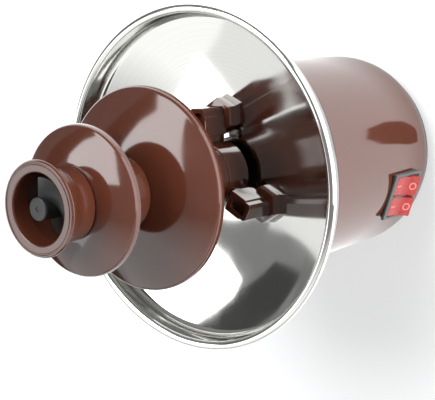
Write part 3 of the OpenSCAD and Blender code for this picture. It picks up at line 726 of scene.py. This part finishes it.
class FOUNTAIN_OT_tower(bpy.types.Operator):
    """Turns the stacked tower: foot with legs, two domed tiers and the crown"""

    bl_idname = "fountain.tower"
    bl_label = "Tower"

    def execute(self, context):
        s = context.scene.fountain_sizes
        self.foot(s)
        thinner = 0.4 * MM
        tiers = (("big_tier", s.big_dome, s.tube_r - thinner), ("small_tier", s.small_dome, s.tube_r))
        for node, dome_h, tube in tiers:
            low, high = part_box(node)
            outline = tier_outline(s, reach(node), high.z - dome_h, high.z, low.z + s.spigot_h, tube)
            mesh = bmesh.new()
            lathe(mesh, outline, 240)
            place_piece(mesh, f"{node}_dome", brown_abs(), node, [node])
        self.crown(s)
        return {"FINISHED"}

    def foot(self, s):
        low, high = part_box("tower_foot")
        tube_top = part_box("big_tier")[0].z + s.spigot_h - SEAT_GAP
        socket_z = tube_top - s.spigot_h - SOCKET_ROOM
        outline = rounded(
            [
                (s.bore_r, socket_z), (s.bore_r, low.z), (s.tube_r, low.z), (s.tube_r, tube_top),
                (s.socket_r, tube_top), (s.socket_r, socket_z),
            ],
            [0, 0.4 * MM, 0.6 * MM, 0.5 * MM, 0.2 * MM, 0],
        )
        mesh = bmesh.new()
        lathe(mesh, outline, 160)
        leg_z = bottom("bowl") + s.sheet + s.peg_h + SEAT_GAP
        inner_r = s.tube_r + s.leg_gap
        step_r = s.peg_place + 1.2 * MM
        outer_r = s.leg_out
        half = s.leg_w / 2
        for number in (1, 2, 3):
            at = Matrix.Rotation(peg_direction(number), 4, "Z")
            web = half - 1.2 * MM
            web_low = (s.tube_r - 0.5 * MM, -web, leg_z)
            web_high = (inner_r + MM, web, tube_top - 1.5 * MM)
            block(mesh, web_low, web_high, 0.4 * MM, at)
            self.leg(mesh, at, (inner_r, step_r, outer_r), half, (leg_z, high.z), s.leg_corner)
        place_piece(mesh, "tower_foot_legs", brown_abs(), "tower_foot", ["tower_foot"])

    def leg(self, mesh, at, radii, half, heights, corner):
        """A leg: a wider inner block and a narrower outer one, with a recess in its top end."""
        inner_r, step_r, outer_r = radii
        low, high = heights
        narrow = half - 0.8 * MM
        outline = rounded(
            [
                (inner_r + MM, -half), (step_r, -half), (step_r, -narrow), (outer_r - corner, -narrow),
                (outer_r, corner - narrow), (outer_r, narrow - corner), (outer_r - corner, narrow),
                (step_r, narrow), (step_r, half), (inner_r, half), (inner_r, -half), (inner_r + MM, -half),
            ],
            [0, 0.5 * MM, 0.2 * MM] + [0.4 * MM] * 4 + [0.2 * MM, 0.5 * MM, 0.5 * MM, 0.5 * MM, 0],
        )[:-1]
        depth, wide, corner_r = 4 * MM, 3.2 * MM, 1.4 * MM
        near, seam, far = inner_r + 2.7 * MM, inner_r + 5 * MM, outer_r - 2.5 * MM
        recess = rounded(
            [(seam, -wide), (far, -wide), (far, wide), (near, wide), (near, -wide), (seam, -wide)],
            [0] + [corner_r] * 4 + [0],
        )[:-1]
        rows = [(outline, low), (outline, high - 0.4 * MM), (shrunk(outline, 0.4 * MM), high)]
        outer = stack(mesh, rows, at, ends=False)
        inner = stack(mesh, [(recess, high), (shrunk(recess, 0.3 * MM), high - depth)], at, ends=False)
        mesh.faces.new(outer[0])
        mesh.faces.new(inner[1])
        ring = []
        for loop in (outer[2], inner[0]):
            ring += [mesh.edges.get((loop[i], loop[(i + 1) % len(loop)])) for i in range(len(loop))]
        bmesh.ops.bridge_loops(mesh, edges=ring)

    def crown(self, s):
        low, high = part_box("crown")
        crown_z = low.z + s.spigot_h
        edge_r = s.crown_r
        lip_z = high.z - s.lip_h
        spigot_r = s.socket_r - PLUG_GAP
        groove = 0.4 * MM
        outline = rounded(
            [
                (s.bore_r, low.z), (spigot_r, low.z), (spigot_r, crown_z), (s.tube_r, crown_z),
                (s.tube_r, crown_z + s.collar_h), (edge_r - 0.8 * MM, lip_z), (edge_r, high.z - 1.2 * MM),
                (edge_r - 0.8 * MM, high.z), (edge_r - 1.5 * MM, high.z),
                (edge_r - 1.8 * MM, high.z - groove),
                (edge_r - 2.3 * MM, high.z - groove), (edge_r - 2.6 * MM, high.z), (s.mouth_r, high.z),
                (s.bore_r, high.z - 9 * MM), (s.bore_r, low.z + MM),
            ],
            [0, 0.3 * MM, 0, 1.2 * MM, 8 * MM, MM, 0.8 * MM, 0.3 * MM]
            + [0.1 * MM] * 4
            + [0.8 * MM, 4 * MM, 0],
            8,
        )
        mesh = bmesh.new()
        lathe(mesh, outline, 200)
        place_piece(mesh, "crown_cup", brown_abs(), "crown", ["crown"])


def shrunk(points, by):
    """A closed outline drawn in towards its middle."""
    middle = sum((Vector(p) for p in points), Vector((0, 0))) / len(points)
    return [Vector(p) + (middle - Vector(p)).normalized() * by for p in points]


class FOUNTAIN_OT_auger(bpy.types.Operator):
    """Winds the auger's flight round its core"""

    bl_idname = "fountain.auger"
    bl_label = "Auger"

    def execute(self, context):
        s = context.scene.fountain_sizes
        low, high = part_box("auger")
        crown_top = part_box("crown")[1].z
        edge_r = reach("auger")
        socket = 3.6 * MM
        depth = 15 * MM
        # The outline starts in the dimple of the head
        dimple_z = high.z - 0.5 * MM
        outline = rounded(
            [
                (0, dimple_z), (1.1 * MM, dimple_z), (1.4 * MM, high.z), (s.core_r, high.z),
                (s.core_r, low.z), (socket, low.z), (socket, low.z + depth), (0, low.z + depth),
            ],
            [0, 0.2 * MM, 0.2 * MM, 0.7 * MM, 0.4 * MM, 0, 0, 0],
        )
        mesh = bmesh.new()
        lathe(mesh, outline + [Vector((0, high.z - 3 * MM))], 64)
        start = low.z + s.flight_t / 2 + 0.3 * MM
        end = crown_top - 0.5 * MM - s.flight_t / 2
        turns = (end - start) / s.pitch
        # Direction in which the flight ends at the top
        last = math.radians(19)
        half = s.flight_t / 2
        soft = 0.6 * MM
        bow = soft * 0.3
        root = s.core_r - 0.6 * MM
        section = [
            (root, -half), (edge_r - soft, -half), (edge_r - bow, -half + bow), (edge_r, -half + soft),
            (edge_r, half - soft), (edge_r - bow, half - bow), (edge_r - soft, half), (root, half),
        ]
        steps = round(turns * 96)
        rows = []
        for i in range(steps + 1):
            share = i / steps
            angle = last - 2 * math.pi * turns * (1 - share)
            z = start + (end - start) * share
            x, y = math.cos(angle), math.sin(angle)
            rows.append([mesh.verts.new((r * x, r * y, z + dz)) for r, dz in section])
        for row, following in zip(rows, rows[1:]):
            for k in range(len(section)):
                n = (k + 1) % len(section)
                mesh.faces.new((row[k], row[n], following[n], following[k]))
        mesh.faces.new(rows[0])
        mesh.faces.new(rows[-1][::-1])
        place_piece(mesh, "auger_screw", dark_acetal(), "auger", ["auger"])
        return {"FINISHED"}


class FOUNTAIN_OT_switch(bpy.types.Operator):
    """Builds the double rocker switch: frame, rockers and printed marks"""

    bl_idname = "fountain.switch"
    bl_label = "Switch"

    def execute(self, context):
        s = context.scene.fountain_sizes
        low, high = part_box("switch_frame")
        names = ("rocker_motor", "rocker_heat")
        pivots = {name: Vector(JOINTS[f"{name}_press"]["pos_m"]) for name in names}
        self.frame(s, low, high, pivots)
        for name, pivot in pivots.items():
            self.rocker(s, name, pivot)
        return {"FINISHED"}

    def frame(self, s, low, high, pivots):
        plate = s.plate
        body_margin = Vector((MM, 0, 1.1 * MM))
        mesh = bmesh.new()
        block(mesh, low, (high.x, low.y + plate, high.z), 0.6 * MM)
        piece = place_piece(mesh, "switch_bezel", dark_nylon(), "base", ["switch_frame"])
        body = bmesh.new()
        block(body, low + body_margin + Vector((0, plate - 0.4 * MM, 0)), high - body_margin, 0.4 * MM)
        shell = place_piece(body, "switch_body", dark_nylon(), "base")
        tilt = math.radians(JOINTS["rocker_motor_press"]["range_deg"][1] / 2)
        tall = s.rocker_face + s.rocker_rise
        swing = (s.rocker_l / 2 - s.rocker_lean) * math.cos(tilt) + tall * math.sin(tilt)
        window = Vector((s.rocker_w / 2 + 0.25 * MM, 0, swing + 0.4 * MM))
        pocket = 9.5 * MM
        for target in (piece, shell):
            cutter = bmesh.new()
            for pivot in pivots.values():
                near = Vector((pivot.x, low.y - MM, pivot.z)) - window
                far = Vector((pivot.x, low.y + pocket, pivot.z)) + window
                block(cutter, near, far)
            carve(target, cutter)

    def rocker(self, s, name, pivot):
        half = s.rocker_l / 2
        face = s.rocker_face
        ridge = s.rocker_rise
        lean = s.rocker_lean
        outline = rounded(
            [
                (-half, lean), (-half + lean, face + ridge), (0, face), (half - lean, face + ridge),
                (half, lean), (4 * MM, -4 * MM), (-4 * MM, -4 * MM), (-half, lean),
            ],
            [0, 0.6 * MM, 14 * MM, 0.6 * MM, 0, MM, MM, 0],
        )[:-1]
        # Local X runs up the switch, local Y outwards and local Z across it
        tilt = Matrix.Rotation(math.radians(-JOINTS[f"{name}_press"]["range_deg"][1] / 2), 4, "X")
        axes = Matrix(((0, 0, 1, 0), (0, -1, 0, 0), (1, 0, 0, 0), (0, 0, 0, 1)))
        at = Matrix.Translation(pivot) @ tilt @ axes
        mesh = bmesh.new()
        prism(mesh, outline, s.rocker_w, 0.5 * MM, at)
        place_piece(mesh, f"{name}_cap", red_polycarbonate(), name, [name], 50)
        slope = math.atan2(ridge, half - lean)
        marks = bmesh.new()
        mark_out = 5 * MM
        for side in (1, -1):
            middle = Vector((side * mark_out, face + ridge * mark_out / (half - lean), 0))
            lie = at @ Matrix.Translation(middle)
            lie = lie @ Matrix.Rotation(side * slope, 4, "Z") @ Matrix.Rotation(-math.pi / 2, 4, "X")
            if side > 0:
                block(marks, (-1.9 * MM, -0.4 * MM, -0.05 * MM), (1.9 * MM, 0.4 * MM, 0.04 * MM), 0, lie)
            else:
                self.ring(marks, lie)
        place_piece(marks, f"{name}_marks", printed_ink(), name)

    def ring(self, mesh, lie):
        inner, outer, lift = 1.55 * MM, 2.3 * MM, 0.04 * MM
        steps = 40
        loops = []
        for r, z in ((inner, -lift), (outer, -lift), (outer, lift), (inner, lift)):
            loops.append([mesh.verts.new(lie @ Vector((x, y, z))) for x, y in circle(r, steps)])
        for loop, following in zip(loops, loops[1:] + loops[:1]):
            for k in range(steps):
                n = (k + 1) % steps
                mesh.faces.new((loop[k], loop[n], following[n], following[k]))


class FOUNTAIN_OT_fittings(bpy.types.Operator):
    """Gives the solids that stay as they are their materials"""

    bl_idname = "fountain.fittings"
    bl_label = "Fittings"

    def execute(self, context):
        dress(["bottom_cover", "thermostat"], dark_nylon())
        dress(["rubber_feet", "bowl_gasket", "shaft_seal", "cord_gland"], moulded_rubber())
        dress(["shaft_bush", "bush_nut", "thermal_fuse", "terminal_block"], pale_nylon())
        dress(["heater_plate", "gearbox", "coupling"], cast_aluminium())
        dress(["motor_terminals", "switch_terminals"], stamped_brass())
        steel = [
            "cover_screws", "bowl_clips", "peg_screws", "heater_element", "motor_bracket", "bracket_screws",
            "gearbox_screws", "motor_can", "output_shaft", "set_screws", "drive_shaft", "rocker_pins",
        ]
        dress(steel, zinc_steel())
        return {"FINISHED"}


class FOUNTAIN_OT_stage(bpy.types.Operator):
    """Sets the floor, the lights and the camera"""

    bl_idname = "fountain.stage"
    bl_label = "Stage"

    def execute(self, context):
        self.floor(context)
        self.sky(context)
        self.lights(context)
        self.camera(context)
        context.scene.view_settings.view_transform = "Standard"
        return {"FINISHED"}

    def floor(self, context):
        """A matt floor that keeps the shadows and shows half of its white to the camera as it is."""
        data = bpy.data.meshes.new("floor")
        half = 40
        corners = [(-half, -half, 0), (half, -half, 0), (half, half, 0), (-half, half, 0)]
        data.from_pydata(corners, [], [(0, 1, 2, 3)])
        floor = bpy.data.objects.new("floor", data)
        context.scene.collection.objects.link(floor)
        finish = {
            "cloud": 400, "vary": 0.01, "rough": (0.6, 0.7), "grain": 3, "relief": 0.02, "depth": 0.05,
            "shader": {"Specular IOR Level": 0.0},
        }
        material = surface("matt white laminate", context.scene.fountain_colours.floor, finish)
        tree = material.node_tree
        output = next(n for n in tree.nodes if n.type == "OUTPUT_MATERIAL")
        paint = output.inputs["Surface"].links[0].from_socket
        path = add(tree, "ShaderNodeLightPath")
        share = add(
            tree, "ShaderNodeMath", {"operation": "MULTIPLY", 1: 0.5}, {0: path.outputs["Is Camera Ray"]}
        ).outputs["Value"]
        white = add(tree, "ShaderNodeEmission", {"Color": (1, 1, 1, 1), "Strength": 1.0})
        mixed = add(tree, "ShaderNodeMixShader", None, {0: share, 1: paint, 2: white.outputs["Emission"]})
        tree.links.new(mixed.outputs["Shader"], output.inputs["Surface"])
        data.materials.append(material)

    def sky(self, context):
        """An even sky that is white to the camera and weaker as a light."""
        world = bpy.data.worlds.new("studio")
        context.scene.world = world
        world.use_nodes = True
        tree = world.node_tree
        tree.nodes.clear()
        path = add(tree, "ShaderNodeLightPath")
        strength = add(
            tree, "ShaderNodeMapRange",
            {"To Min": 0.25, "To Max": 1.0}, {"Value": path.outputs["Is Camera Ray"]},
        ).outputs["Result"]
        light = add(tree, "ShaderNodeBackground", {"Color": (1, 1, 1, 1)}, {"Strength": strength})
        add(tree, "ShaderNodeOutputWorld", None, {"Surface": light.outputs["Background"]})

    def card(self, context, name, corners, strength, faces=None, fade=None):
        """A card that is seen only in reflections.

        fade holds an axis, two places along it and the last strength. Without an axis the places are
        distances from the origin.
        """
        data = bpy.data.meshes.new(name)
        data.from_pydata([tuple(c) for c in corners], [], faces or [tuple(range(len(corners)))])
        card = bpy.data.objects.new(name, data)
        context.scene.collection.objects.link(card)
        material = bpy.data.materials.new(name)
        material.use_nodes = True
        tree = material.node_tree
        tree.nodes.clear()
        glow = add(tree, "ShaderNodeEmission", {"Color": (1, 1, 1, 1), "Strength": strength})
        add(tree, "ShaderNodeOutputMaterial", None, {"Surface": glow.outputs["Emission"]})
        if fade:
            axis, start, end, last = fade
            spot = add(tree, "ShaderNodeNewGeometry").outputs["Position"]
            measure = {"operation": "DOT_PRODUCT", 1: axis} if axis else {"operation": "LENGTH"}
            along = add(tree, "ShaderNodeVectorMath", measure, {0: spot}).outputs["Value"]
            levels = {"From Min": start, "From Max": end, "To Min": strength, "To Max": last}
            level = add(tree, "ShaderNodeMapRange", levels, {"Value": along}).outputs["Result"]
            tree.links.new(level, glow.inputs["Strength"])
        data.materials.append(material)
        card.visible_camera = False
        card.visible_diffuse = False
        card.visible_shadow = False

    def wall_card(self, context, name, directions, distance, strength):
        """A card across directions, in degrees round and above the tower, at a distance from it."""
        centre = Vector((0, 0, 0.2))
        rays = []
        for azimuth, elevation in directions:
            a, e = math.radians(azimuth), math.radians(elevation)
            rays.append(Vector((math.cos(e) * math.cos(a), math.cos(e) * math.sin(a), math.sin(e))))
        facing = sum(rays, Vector()).normalized()
        self.card(context, name, [centre + ray * distance / ray.dot(facing) for ray in rays], strength)

    def lamp(self, context, name, place, aim, size, energy):
        """A soft rectangular lamp that isn't mirrored."""
        data = bpy.data.lights.new(name, "AREA")
        data.shape = "RECTANGLE"
        data.size, data.size_y = size
        data.energy = energy
        holder = bpy.data.objects.new(name, data)
        context.scene.collection.objects.link(holder)
        holder.location = place
        holder.rotation_euler = (Vector(aim) - Vector(place)).to_track_quat("-Z", "Y").to_euler()
        holder.visible_glossy = False

    def band_card(self, context, name, azimuths, low, high, strength):
        """A card round the axis between two azimuths in degrees, from one radius and height to another."""
        steps = 24
        first, last = azimuths
        turns = [math.radians(first + (last - first) * k / steps) for k in range(steps + 1)]
        points = [Vector((r * math.cos(a), r * math.sin(a), z)) for r, z in (low, high) for a in turns]
        faces = [(k, k + 1, k + steps + 2, k + steps + 1) for k in range(steps)]
        self.card(context, name, points, strength, faces)

    def lights(self, context):
        """Cards that the steel and the gloss mirror, and two lamps that light the part."""
        on_floor, over_floor = 0.4 * MM, 0.8 * MM
        window = [(97, 42), (67, 37), (36, 37), (15, 45), (17, 60), (36, 59), (29, 85), (106, 55)]
        self.wall_card(context, "window_card", window, 3.8, 4.6)
        wall = [(107, 18), (97, 23), (86, 30), (77, 34), (60, 38), (60, 48), (73, 45), (93, 41), (106, 32)]
        self.wall_card(context, "dark_wall_card", wall, 3.2, 0.06)
        self.band_card(context, "far_wall_card", (20, 110), (3.6, 0.5), (3.6, 1.37), 0.2)
        self.band_card(context, "far_floor_card", (10, 112), (0.2, on_floor), (1.8, on_floor), 2.2)
        self.band_card(context, "near_card", (-82, -12), (0.42, 0.0), (0.42, 0.34), 2.4)
        self.band_card(context, "dark_low_card", (118, 260), (1.8, 0.137), (1.8, 0.453), 0.08)
        self.wall_card(context, "side_card", [(117, 38), (152, 38), (152, 66), (117, 66)], 4.2, 2.2)
        self.wall_card(context, "low_side_card", [(110, 4), (155, 4), (155, 38), (113, 38)], 4.2, 0.95)
        # A white table on the -X side, which the lower halves of the tiers mirror
        up, tow = Vector((0.891, 0.432, -0.14)), Vector((0.381, -0.542, 0.749))
        side = up.cross(tow)
        foot = Vector((0, 0, 0.2)) - up * 2.4
        corners = [foot + tow * t + side * r for t, r in ((-1.8, -9), (3.45, -9), (3.45, 9), (-1.8, 9))]
        self.card(context, "table_card", corners, 1.2, None, (tow, 1.0, 3.6, 0.25))
        ring = [(x, y, on_floor) for x, y in circle(0.17, 32)]
        self.card(context, "floor_card", ring, 0.6, None, (None, 0.055, 0.08, 1.75))
        # A dark gap in the pale floor, which the housing mirrors
        patch = [
            (0.074, -0.07), (0.067, -0.058), (0.055, -0.053), (0.04, -0.054),
            (0.033, -0.06), (0.035, -0.067), (0.05, -0.081), (0.065, -0.082),
        ]
        self.card(context, "floor_gap_card", [(x, y, over_floor) for x, y in patch], 0.1)
        self.lamp(context, "softbox", (1.35, 0.6, 3.0), (0, 0, 0.1), (2.2, 2.2), 138)
        self.lamp(context, "low_softbox", (0.55, -1.1, 0.25), (0, 0, 0.07), (0.9, 0.4), 25)

    def camera(self, context):
        view = context.scene.fountain_view
        look = Vector(view.look).normalized()
        right = look.cross(Vector(view.upwards)).normalized()
        up = right.cross(look)
        data = bpy.data.cameras.new("camera")
        data.sensor_fit = "HORIZONTAL"
        data.sensor_width = 36
        data.lens = view.lens
        camera = bpy.data.objects.new("camera", data)
        context.scene.collection.objects.link(camera)
        axes = Matrix((right, up, -look)).transposed().to_4x4()
        camera.matrix_world = Matrix.Translation(Vector(view.place)) @ axes
        context.scene.camera = camera


class FOUNTAIN_PT_panel(bpy.types.Panel):
    """Sizes, colours and steps of the chocolate fountain"""

    bl_idname = "FOUNTAIN_PT_panel"
    bl_label = "Chocolate Fountain"
    bl_space_type = "VIEW_3D"
    bl_region_type = "UI"
    bl_category = "Fountain"

    def draw(self, context):
        scene = context.scene
        for group in (scene.fountain_sizes, scene.fountain_colours, scene.fountain_view):
            box = self.layout.box()
            for name in group.__annotations__:
                box.prop(group, name)
        for step in STEPS:
            self.layout.operator(step.bl_idname)


STEPS = (
    FOUNTAIN_OT_housing,
    FOUNTAIN_OT_bowl,
    FOUNTAIN_OT_pegs,
    FOUNTAIN_OT_tower,
    FOUNTAIN_OT_auger,
    FOUNTAIN_OT_switch,
    FOUNTAIN_OT_fittings,
    FOUNTAIN_OT_stage,
)
GROUPS = {
    "fountain_sizes": FountainSizes,
    "fountain_colours": FountainColours,
    "fountain_view": FountainView,
}


def register():
    for kind in (*GROUPS.values(), *STEPS, FOUNTAIN_PT_panel):
        bpy.utils.register_class(kind)
    for name, group in GROUPS.items():
        setattr(bpy.types.Scene, name, PointerProperty(type=group))


def unregister():
    for name in GROUPS:
        delattr(bpy.types.Scene, name)
    for kind in (FOUNTAIN_PT_panel, *STEPS, *GROUPS.values()):
        bpy.utils.unregister_class(kind)


def main():
    register()
    for step in STEPS:
        area, action = step.bl_idname.split(".")
        getattr(getattr(bpy.ops, area), action)()


if __name__ == "__main__":
    main()
